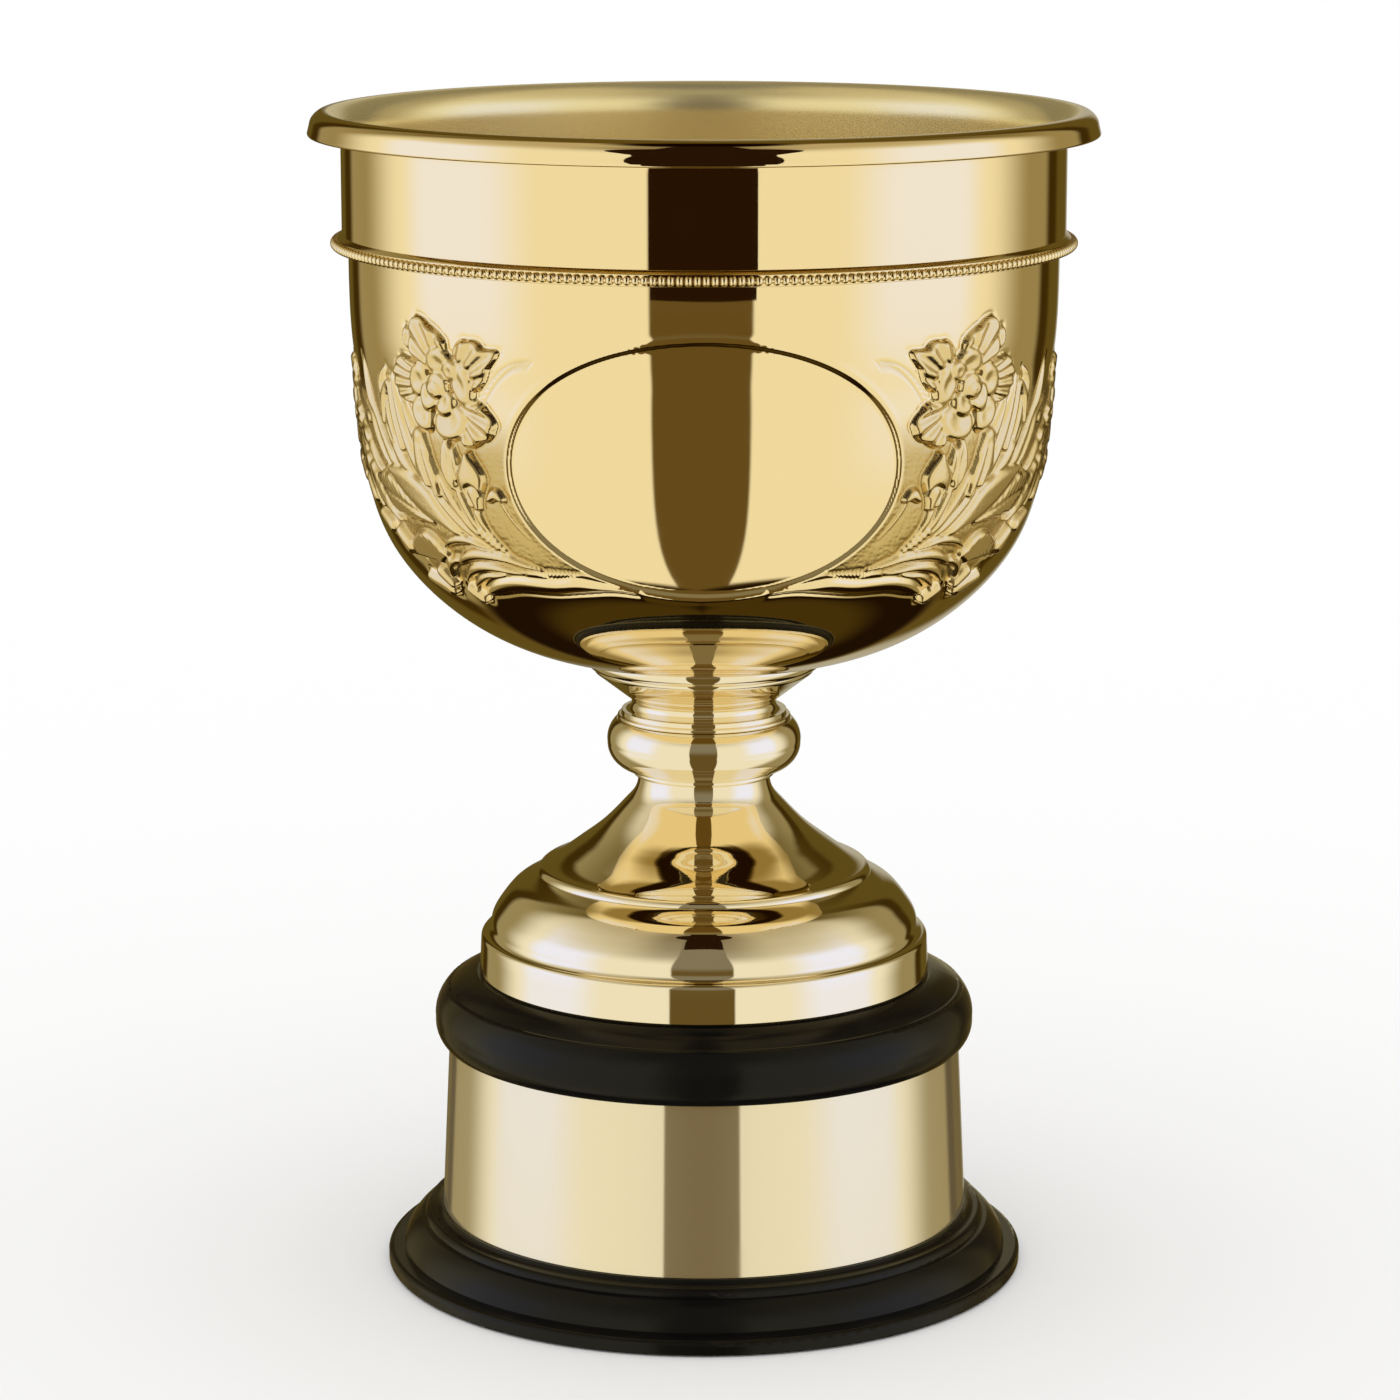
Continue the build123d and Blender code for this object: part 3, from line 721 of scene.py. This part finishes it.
class Tree:
    """Short calls that add nodes to a material or world and link them."""

    def __init__(self, owner):
        self.owner = owner
        owner.use_nodes = True
        self.nodes = owner.node_tree.nodes
        self.links = owner.node_tree.links
        self.nodes.clear()

    def connect(self, socket, value):
        if isinstance(value, bpy.types.NodeSocket):
            self.links.new(value, socket)
        elif value is not None:
            socket.default_value = value

    def add(self, kind, inputs=None, **settings):
        node = self.nodes.new(kind)
        for name, value in settings.items():
            setattr(node, name, value)
        for name, value in (inputs or {}).items():
            self.connect(node.inputs[name], value)
        return node

    def math(self, operation, *values):
        node = self.add("ShaderNodeMath", operation=operation)
        for socket, value in zip(node.inputs, values):
            self.connect(socket, value)
        return node.outputs[0]

    def plus(self, base, weight, share):
        """The base with the weighted share added."""
        return self.math("ADD", base, self.math("MULTIPLY", weight, share))

    def step(self, value, low, high):
        """0 below low, 1 above high and smooth between; the other way round when low > high."""
        node = self.add("ShaderNodeMapRange", interpolation_type="SMOOTHSTEP")
        ends = (low, high, 0.0, 1.0) if low < high else (high, low, 1.0, 0.0)
        for socket, setting in zip(node.inputs, (value, *ends)):
            self.connect(socket, setting)
        return node.outputs[0]

    def mix(self, factor, a, b):
        """The colour a, going over to b where the factor is 1."""
        node = self.add("ShaderNodeMix", data_type="RGBA")
        for place, value in zip(MIX_INPUTS, (factor, a, b)):
            self.connect(node.inputs[place], value)
        return node.outputs[MIX_RESULT]

    def blend(self, share, a, b):
        """The shader a, going over to b where the share is 1."""
        return self.add("ShaderNodeMixShader", {0: share, 1: a.outputs[0], 2: b.outputs[0]})

    def finish(self, shader, output="ShaderNodeOutputMaterial"):
        """Shows the shader, and gives back the material or world that owns the nodes."""
        self.add(output, {"Surface": shader.outputs[0]})
        return self.owner


# ------------------------------ studio
# What polished gold mirrors, by direction: two tall softboxes left and right of the camera, with a
# dark gap between them where the camera stands, a dim ceiling and table, and a dim room behind.
GAP_LOW, GAP_HIGH = (0.138, 0.091, 0.026, 1), (0.245, 0.218, 0.155, 1)
SOFTBOX, HOT = (0.95, 0.92, 0.82, 1), (0.95, 1.03, 1.48, 1)
FALL_OFF = (0.34, 0.28, 0.14, 1)
LINE = (0.05, 0.027, 0.003, 1)
ROOM, BEHIND = (0.120, 0.082, 0.015, 1), (0.45, 0.42, 0.33, 1)
CEILING_FRONT, CEILING_SIDE = (0.27, 0.22, 0.14, 1), (0.52, 0.45, 0.30, 1)
ZENITH = (0.006, 0.001, 0.0, 1)
TABLE = (0.14, 0.094, 0.024, 1)
SHADE, UNDER = (0.014, 0.006, 0.002, 1), (0.062, 0.038, 0.006, 1)
FLAG = (0.020, 0.008, 0.002, 1)
WHITE = (1, 1, 1, 1)
DAYLIGHT_STRENGTH = 1.03

# Angles in degrees. Azimuth is 0 at the camera's side, and elevation is 0 at the horizon. Each pair
# says where one of the colours above starts to show and where it has taken over.
GAP_CENTRE, GAP_HALF, GAP_EDGE = -0.9, 16.4, 0.7
SYMMETRY_AZIMUTH = -5.0  # the rest of the studio is alike on both sides of this
HOT_INNER, HOT_OUTER = (46, 70), (106, 92)
HOT_LOWER, HOT_UPPER = (-24, -4), (48, 22)
FALL_OFF_FROM, FALL_OFF_LIFT = (104, 130), 10.0
LINE_FROM, ROOM_FROM, BEHIND_FROM = (140, 146), (150, 156), (168, 176)
CEILING_FROM, CEILING_SIDE_FROM, CEILING_END = (18, 64), (20, 60), (110, 130)
GAP_HIGH_FROM, ZENITH_FROM = (-10, 15), (72, 80)
TABLE_LINE, TABLE_TILT = -70.0, 0.22  # the table's edge, and how it rises to the sides
TABLE_FROM, SHADE_FROM, UNDER_FROM = (-2, 2), (-1, 4), (11, 20)  # counted down from that edge


def studio():
    """The world: the studio for mirror rays, white for the camera, even daylight for the rest."""
    world = bpy.data.worlds.new("studio")
    bpy.context.scene.world = world
    t = Tree(world)
    place = t.add("ShaderNodeTexCoord").outputs["Generated"]
    x, y, z = t.add("ShaderNodeSeparateXYZ", {"Vector": place}).outputs
    azimuth = t.math("DEGREES", t.math("ARCTAN2", x, t.math("MULTIPLY", y, -1.0)))
    elevation = t.math("DEGREES", t.math("ARCSINE", z))
    from_gap = t.math("ABSOLUTE", t.math("SUBTRACT", azimuth, GAP_CENTRE))
    aside = t.math("ABSOLUTE", t.math("SUBTRACT", azimuth, SYMMETRY_AZIMUTH))

    hot_across = t.math("MULTIPLY", t.step(aside, *HOT_INNER), t.step(aside, *HOT_OUTER))
    hot_up = t.math("MULTIPLY", t.step(elevation, *HOT_LOWER), t.step(elevation, *HOT_UPPER))
    panel = t.mix(t.math("MULTIPLY", hot_across, hot_up), SOFTBOX, HOT)
    lowered = t.math("MINIMUM", t.math("ADD", elevation, FALL_OFF_LIFT), 0.0)
    falling = t.math("SUBTRACT", aside, lowered)
    panel = t.mix(t.step(falling, *FALL_OFF_FROM), panel, FALL_OFF)
    panel = t.mix(t.step(aside, *LINE_FROM), panel, LINE)
    panel = t.mix(t.step(aside, *ROOM_FROM), panel, ROOM)
    panel = t.mix(t.step(aside, *BEHIND_FROM), panel, BEHIND)
    ceiling = t.mix(t.step(aside, *CEILING_SIDE_FROM), CEILING_FRONT, CEILING_SIDE)
    ceiling = t.mix(t.step(aside, *CEILING_END), ceiling, ROOM)
    panel = t.mix(t.step(elevation, *CEILING_FROM), panel, ceiling)
    gap = t.mix(t.step(elevation, *GAP_HIGH_FROM), GAP_LOW, GAP_HIGH)
    lit = t.mix(t.step(from_gap, GAP_HALF - GAP_EDGE, GAP_HALF + GAP_EDGE), gap, panel)
    lit = t.mix(t.step(elevation, *ZENITH_FROM), lit, ZENITH)
    table_line = t.plus(TABLE_LINE, TABLE_TILT, aside)
    below = t.math("SUBTRACT", table_line, elevation)
    table = t.mix(t.step(below, *SHADE_FROM), TABLE, SHADE)
    table = t.mix(t.step(below, *UNDER_FROM), table, UNDER)
    lit = t.mix(t.step(below, *TABLE_FROM), lit, table)

    mirrored = t.add("ShaderNodeBackground", {"Color": lit})
    daylight = t.add("ShaderNodeBackground", {"Color": WHITE, "Strength": DAYLIGHT_STRENGTH})
    backdrop = t.add("ShaderNodeBackground", {"Color": WHITE})
    path = t.add("ShaderNodeLightPath")
    unseen = t.blend(path.outputs["Is Glossy Ray"], daylight, mirrored)
    t.finish(t.blend(path.outputs["Is Camera Ray"], unseen, backdrop), "ShaderNodeOutputWorld")


FLAGS_AWAY = 150 * MM  # in front of the cup's axis
STRIP_PLACE, STRIP_HALF = (-0.5 * MM, 420 * MM), (31.5 * MM, 178 * MM)  # across and up
EYE_PLACE, EYE_HALF = (0.0, 345 * MM), (60 * MM, 52 * MM)
EYE_NEARER = 1 * MM  # than the strip
EYE_SIDES = 64


def flags():
    """A black strip and a black ellipse hung close in front of the rim, seen only in reflections."""
    t = Tree(bpy.data.materials.new("flag_cloth"))
    cloth = t.finish(t.add("ShaderNodeEmission", {"Color": FLAG}))
    upright = Matrix.Translation((0, -FLAGS_AWAY, 0)) @ Matrix.Rotation(math.pi / 2, 4, "X")
    shape = bmesh.new()
    strip = Matrix.Translation((*STRIP_PLACE, 0)) @ Matrix.Diagonal((*STRIP_HALF, 1, 1))
    bmesh.ops.create_grid(shape, x_segments=1, y_segments=1, size=1.0, matrix=upright @ strip)
    eye = Matrix.Translation((*EYE_PLACE, EYE_NEARER)) @ Matrix.Diagonal((*EYE_HALF, 1, 1))
    bmesh.ops.create_circle(shape, cap_ends=True, segments=EYE_SIDES, radius=1.0, matrix=upright @ eye)
    mesh = bpy.data.meshes.new("flags")
    shape.to_mesh(mesh)
    shape.free()
    mesh.materials.append(cloth)
    cards = bpy.data.objects.new("flags", mesh)
    bpy.context.scene.collection.objects.link(cards)
    cards.visible_camera = cards.visible_diffuse = cards.visible_shadow = False


studio()
flags()

# ------------------------------ materials
# Scales are in features per metre, and depths in metres.
GOLD = (0.92, 0.75, 0.41, 1)
PALE_GOLD = (0.92, 0.82, 0.57, 1)
# a darker gold painted where the relief is matted: painted shade of the stipple hollows
SHADED_MATT_GOLD = (0.66, 0.48, 0.17, 1)
SATIN_GOLD = (0.90, 0.77, 0.41, 1)
STEM_GOLD = (0.90, 0.80, 0.57, 1)
SMEAR_ROUGHNESS, MATT_ROUGHNESS, HAZE_ROUGHNESS, SATIN_HAZE = 0.03, 0.30, 0.5, 0.18
BLACK = (0.004, 0.004, 0.004, 1)
LACQUER_SHINE, LACQUER_IOR = (1.0, 0.93, 0.68, 1), 1.29
LACQUER_ROUGHNESS, RUBBED_ROUGHNESS = 0.17, 0.10
ZINC, DULL_ZINC = (0.62, 0.64, 0.66, 1), (0.42, 0.43, 0.43, 1)
BRASS, DULL_BRASS = (0.80, 0.60, 0.28, 1), (0.55, 0.38, 0.16, 1)
TARNISH_ROUGHNESS = 0.22
WOOD_LIGHT, WOOD_DARK, WOOD_PORE = (0.50, 0.31, 0.16, 1), (0.36, 0.20, 0.09, 1), (0.12, 0.06, 0.03, 1)
RING_HEIGHT, PORE_DARKNESS, WOOD_ROUGHNESS, PORE_ROUGHNESS = 0.5, 0.6, 0.55, 0.2
WOOL_DARK, WOOL_LIGHT = (0.010, 0.050, 0.022, 1), (0.035, 0.140, 0.060, 1)
WOOL_CLOUD, WOOL_CLOUDING = (0.020, 0.075, 0.040, 1), 0.35


def object_place(t):
    return t.add("ShaderNodeTexCoord").outputs["Object"]


def stretched(t, factors):
    """The place on the object, with each axis scaled by its factor."""
    scaled = t.add("ShaderNodeVectorMath", {0: object_place(t), 1: factors}, operation="MULTIPLY")
    return scaled.outputs[0]


def noise(t, vector, scale, detail=2.0):
    return t.add("ShaderNodeTexNoise", {"Vector": vector, "Scale": scale, "Detail": detail}).outputs["Fac"]


def bump(t, height, depth):
    """A surface normal from a height between 0 and 1 that stands for depth metres."""
    return t.add("ShaderNodeBump", {"Height": height, "Distance": depth, "Strength": 1.0}).outputs["Normal"]


def turned_marks(t, stretch=60.0):
    """Fine uneven lines that run round the piece, from 0 to 1."""
    x, y, z = t.add("ShaderNodeSeparateXYZ", {"Vector": object_place(t)}).outputs
    turn = t.math("ARCTAN2", x, t.math("MULTIPLY", y, -1.0))
    round_it = t.math("DIVIDE", t.math("MULTIPLY", turn, FLAT_RADIUS * MM), stretch)
    out = t.math("SQRT", t.math("ADD", t.math("MULTIPLY", x, x), t.math("MULTIPLY", y, y)))
    vector = t.add("ShaderNodeCombineXYZ", {"X": round_it, "Y": out, "Z": z}).outputs[0]
    return noise(t, vector, scale=2500.0, detail=3.0)


def gold(name, colour=GOLD, roughness=0.03, haze=0.0, matt_and_shade=False):
    """Gold plate: a polished mirror with faint turning marks and handling smears, and some haze; matted
    places are duller and painted a darker gold as painted shade.
    """
    t = Tree(bpy.data.materials.new(name))
    smear = t.step(noise(t, object_place(t), scale=45.0, detail=3.0), low=0.50, high=0.75)
    rough = t.plus(roughness, SMEAR_ROUGHNESS, smear)
    if matt_and_shade:
        share = t.add("ShaderNodeAttribute", attribute_name="matt_and_shade").outputs["Fac"]
        rough = t.plus(rough, MATT_ROUGHNESS, share)
        # painted shade: the matted places take the darker gold
        colour = t.mix(share, colour, SHADED_MATT_GOLD)
    normal = bump(t, turned_marks(t), depth=0.0000008)
    finish = {"Base Color": colour, "Metallic": 1.0, "Normal": normal}
    surface = t.add("ShaderNodeBsdfPrincipled", {**finish, "Roughness": rough})
    if haze:
        soft = t.add("ShaderNodeBsdfPrincipled", {**finish, "Roughness": HAZE_ROUGHNESS})
        surface = t.blend(haze, surface, soft)
    return t.finish(surface)


def satin_gold():
    """The unpolished inside of the cup: the same plate over a fine even grain."""
    t = Tree(bpy.data.materials.new("satin_gold"))
    grain = t.math("ADD", noise(t, object_place(t), scale=4000.0), turned_marks(t))
    shine = t.add("ShaderNodeBsdfPrincipled", {
        "Base Color": SATIN_GOLD, "Metallic": 1.0, "Roughness": 0.26,
        "Normal": bump(t, grain, depth=0.000004)})
    body = t.add("ShaderNodeBsdfDiffuse", {"Color": SATIN_GOLD})
    return t.finish(t.blend(SATIN_HAZE, shine, body))


def lacquer():
    """Black lacquer on turned wood, rubbed to a soft shine."""
    t = Tree(bpy.data.materials.new("black_lacquer"))
    place = object_place(t)
    rubbed = t.step(noise(t, place, scale=60.0), low=0.4, high=0.7)
    rough = t.plus(LACQUER_ROUGHNESS, RUBBED_ROUGHNESS, rubbed)
    height = t.math("ADD", turned_marks(t), noise(t, place, scale=900.0))
    finish = {"Roughness": rough, "Normal": bump(t, height, depth=0.000006)}
    body = t.add("ShaderNodeBsdfPrincipled", {**finish, "Base Color": BLACK, "Specular IOR Level": 0.0})
    shine = t.add("ShaderNodeBsdfGlossy", {**finish, "Color": LACQUER_SHINE})
    share = t.add("ShaderNodeFresnel", {"IOR": LACQUER_IOR, "Normal": finish["Normal"]}).outputs[0]
    return t.finish(t.blend(share, body, shine))


def bare_metal(name, bright, dull, roughness):
    """Unplated turned metal: fine tool marks, and dull patches where it has tarnished."""
    t = Tree(bpy.data.materials.new(name))
    patch = t.step(noise(t, object_place(t), scale=220.0, detail=4.0), low=0.42, high=0.68)
    rough = t.plus(roughness, TARNISH_ROUGHNESS, patch)
    return t.finish(t.add("ShaderNodeBsdfPrincipled", {
        "Base Color": t.mix(patch, bright, dull), "Metallic": 1.0, "Roughness": rough,
        "Normal": bump(t, turned_marks(t, stretch=25.0), depth=0.000012)}))


def raw_wood():
    """Pale close-grained wood: year rings bent by noise, with short darker pores along the grain."""
    t = Tree(bpy.data.materials.new("bare_wood"))
    rings = t.add("ShaderNodeTexWave", {"Vector": stretched(t, (1.0, 0.12, 1.0)), "Scale": 55.0,
                                        "Distortion": 3.5, "Detail": 3.0},
                  wave_type="RINGS", rings_direction="Y").outputs["Fac"]
    pores = t.step(noise(t, stretched(t, (1.0, 0.04, 1.0)), scale=1800.0), low=0.62, high=0.70)
    colour = t.mix(rings, WOOD_LIGHT, WOOD_DARK)
    colour = t.mix(t.math("MULTIPLY", PORE_DARKNESS, pores), colour, WOOD_PORE)
    height = t.math("SUBTRACT", t.math("MULTIPLY", RING_HEIGHT, rings), pores)
    rough = t.plus(WOOD_ROUGHNESS, PORE_ROUGHNESS, pores)
    return t.finish(t.add("ShaderNodeBsdfPrincipled", {
        "Base Color": colour, "Roughness": rough, "Normal": bump(t, height, depth=0.00004)}))


def green_felt():
    """Pressed wool: matted fibres of slightly different greens, with a soft bloom at a low angle."""
    t = Tree(bpy.data.materials.new("green_felt"))
    place = object_place(t)
    swirl = t.add("ShaderNodeTexNoise", {"Vector": place, "Scale": 900.0, "Detail": 4.0, "Distortion": 2.5})
    fibres = swirl.outputs["Fac"]
    cloud = t.math("MULTIPLY", WOOL_CLOUDING, noise(t, place, scale=70.0, detail=3.0))
    return t.finish(t.add("ShaderNodeBsdfPrincipled", {
        "Base Color": t.mix(cloud, t.mix(fibres, WOOL_DARK, WOOL_LIGHT), WOOL_CLOUD),
        "Roughness": 0.95, "Sheen Weight": 0.5, "Sheen Roughness": 0.4, "Specular IOR Level": 0.1,
        "Normal": bump(t, fibres, depth=0.0002)}))


# ------------------------------ polished metal
rim_gold = gold("rim_gold")
bowl_gold = gold("bowl_gold", matt_and_shade=True)
stem_gold = gold("stem_gold", STEM_GOLD, roughness=0.015)
band_gold = gold("band_gold", PALE_GOLD, roughness=0.05, haze=0.26)
inside_gold = satin_gold()
SATIN_FACING = -0.3  # how far a face must look away from the outside to be an inside one


def satin_inside(made, upward=0.0):
    """Gives the satin finish to the faces that look towards the axis, or upwards by that weight."""
    made.data.materials.append(inside_gold)
    for face in made.data.polygons:
        centre, normal = face.center, face.normal
        across = math.hypot(centre.x, centre.y) or 1.0
        outwards = (normal.x * centre.x + normal.y * centre.y) / across
        if outwards - upward * normal.z < SATIN_FACING:
            face.material_index = 1


turned_piece("plinth_band", band_gold)
for node in ("foot", "stem", "stem_ring", "knop", "knop_ring", "collar", "seat_ring"):
    turned_piece(node, stem_gold)
turned_piece("girdle_ring", rim_gold)
satin_inside(turned_piece("rim_band", rim_gold))
satin_inside(chased_bowl(chased_sheet()), upward=0.5)
bead_ring("beaded_wire")


# ------------------------------ pieces shown as the CAD made them
def finish_nodes(material, *nodes):
    """Gives CAD pieces their material."""
    for node in nodes:
        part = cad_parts[node]
        part.data.materials.clear()
        part.data.materials.append(material)


finish_nodes(lacquer(), "plinth_base", "plinth_cap")
finish_nodes(bare_metal("zinc_steel", ZINC, DULL_ZINC, 0.26), "wood_screws", "tie_rod", "washers", "hex_nuts")
finish_nodes(bare_metal("bare_brass", BRASS, DULL_BRASS, 0.24), "foot_bridge", "bowl_boss")
finish_nodes(raw_wood(), "plinth_core")

# ------------------------------ felt under the plinth
FELT_STEP = 0.6 * MM
FELT_TURNS = 720
FELT_CORNER_STEPS = 4
FELT_ROUNDING = 0.3  # of its thickness
FELT_NAP, FELT_WANDER = 0.10 * MM, 0.08 * MM


def blurred(values, passes):
    """Random values evened out with their neighbours, wrapping round."""
    for _ in range(passes):
        for axis in (0, 1):
            values = (values + np.roll(values, 1, axis) + np.roll(values, -1, axis)) / 3
    return values / np.abs(values).max()


def felt_ring(node):
    """A cut felt washer: soft rounded edges that wander a little, and a pressed, uneven underside."""
    outline = seam_points(node)
    (inner, low), (outer, high) = outline.min(axis=0), outline.max(axis=0)
    edge = FELT_ROUNDING * (high - low)
    quarter_turn = np.arange(FELT_CORNER_STEPS) / FELT_CORNER_STEPS * TAU / 4
    profile = [(r, low) for r in np.arange(inner + edge, outer - edge, FELT_STEP)[::-1]]
    for centre_r, centre_z, start in ((inner + edge, low + edge, 0.75), (inner + edge, high - edge, 0.50),
                                      (outer - edge, high - edge, 0.25), (outer - edge, low + edge, 0.0)):
        for angle in start * TAU - quarter_turn:
            profile.append((centre_r + edge * math.cos(angle), centre_z + edge * math.sin(angle)))
    rings = turned_rings(outward(np.array(profile)), FELT_TURNS)
    rng = np.random.default_rng(SEED + 1)
    nap = np.abs(blurred(rng.normal(size=rings.shape[:2]), passes=2))
    wander = blurred(rng.normal(size=(1, FELT_TURNS)), passes=6)
    radius = np.linalg.norm(rings[..., :2], axis=-1)
    at_edge = np.minimum(radius - inner, outer - radius) < 2 * edge
    inwards = np.where(radius > (inner + outer) / 2, -1, 1)
    shift = at_edge * inwards * FELT_WANDER * (1 + wander + nap)
    rings[..., :2] *= (1 + shift / radius)[..., None]
    underside = rings[..., 2] < (low + high) / 2
    rings[..., 2] += underside * FELT_NAP * nap
    made = skin(node + "_skin", rings)
    made.data.materials.append(green_felt())
    stands_for(made, "green_felt", node)


felt_ring("felt_pad")

# ------------------------------ floor and camera
FLOOR_SIZE = 12.0
FLOOR_PAINT = (0.97, 0.97, 0.97, 1)
SENSOR_WIDTH = 36.0
LENS = 119.3
CAMERA_PLACE = (0.0, -1.118, 0.3726)
CAMERA_DOWN = 11.66  # degrees below level
SHIFT_X = -0.0029


def pale_floor():
    """A wide pale floor that takes the cup's shadow, but that the gold doesn't mirror."""
    t = Tree(bpy.data.materials.new("pale_floor"))
    paint = t.finish(t.add("ShaderNodeBsdfDiffuse", {"Color": FLOOR_PAINT}))
    bpy.ops.mesh.primitive_plane_add(size=FLOOR_SIZE)
    floor = bpy.context.object
    floor.name = "floor"
    floor.data.materials.append(paint)
    floor.visible_glossy = False


def front_camera():
    """Looks a little down on the cup from the front."""
    data = bpy.data.cameras.new("camera")
    data.sensor_width = SENSOR_WIDTH
    data.lens = LENS
    data.shift_x = SHIFT_X
    camera = bpy.data.objects.new("camera", data)
    camera.location = CAMERA_PLACE
    camera.rotation_euler = (math.radians(90 - CAMERA_DOWN), 0, 0)
    bpy.context.scene.collection.objects.link(camera)
    bpy.context.scene.camera = camera
    bpy.context.scene.view_settings.view_transform = "Standard"


pale_floor()
front_camera()
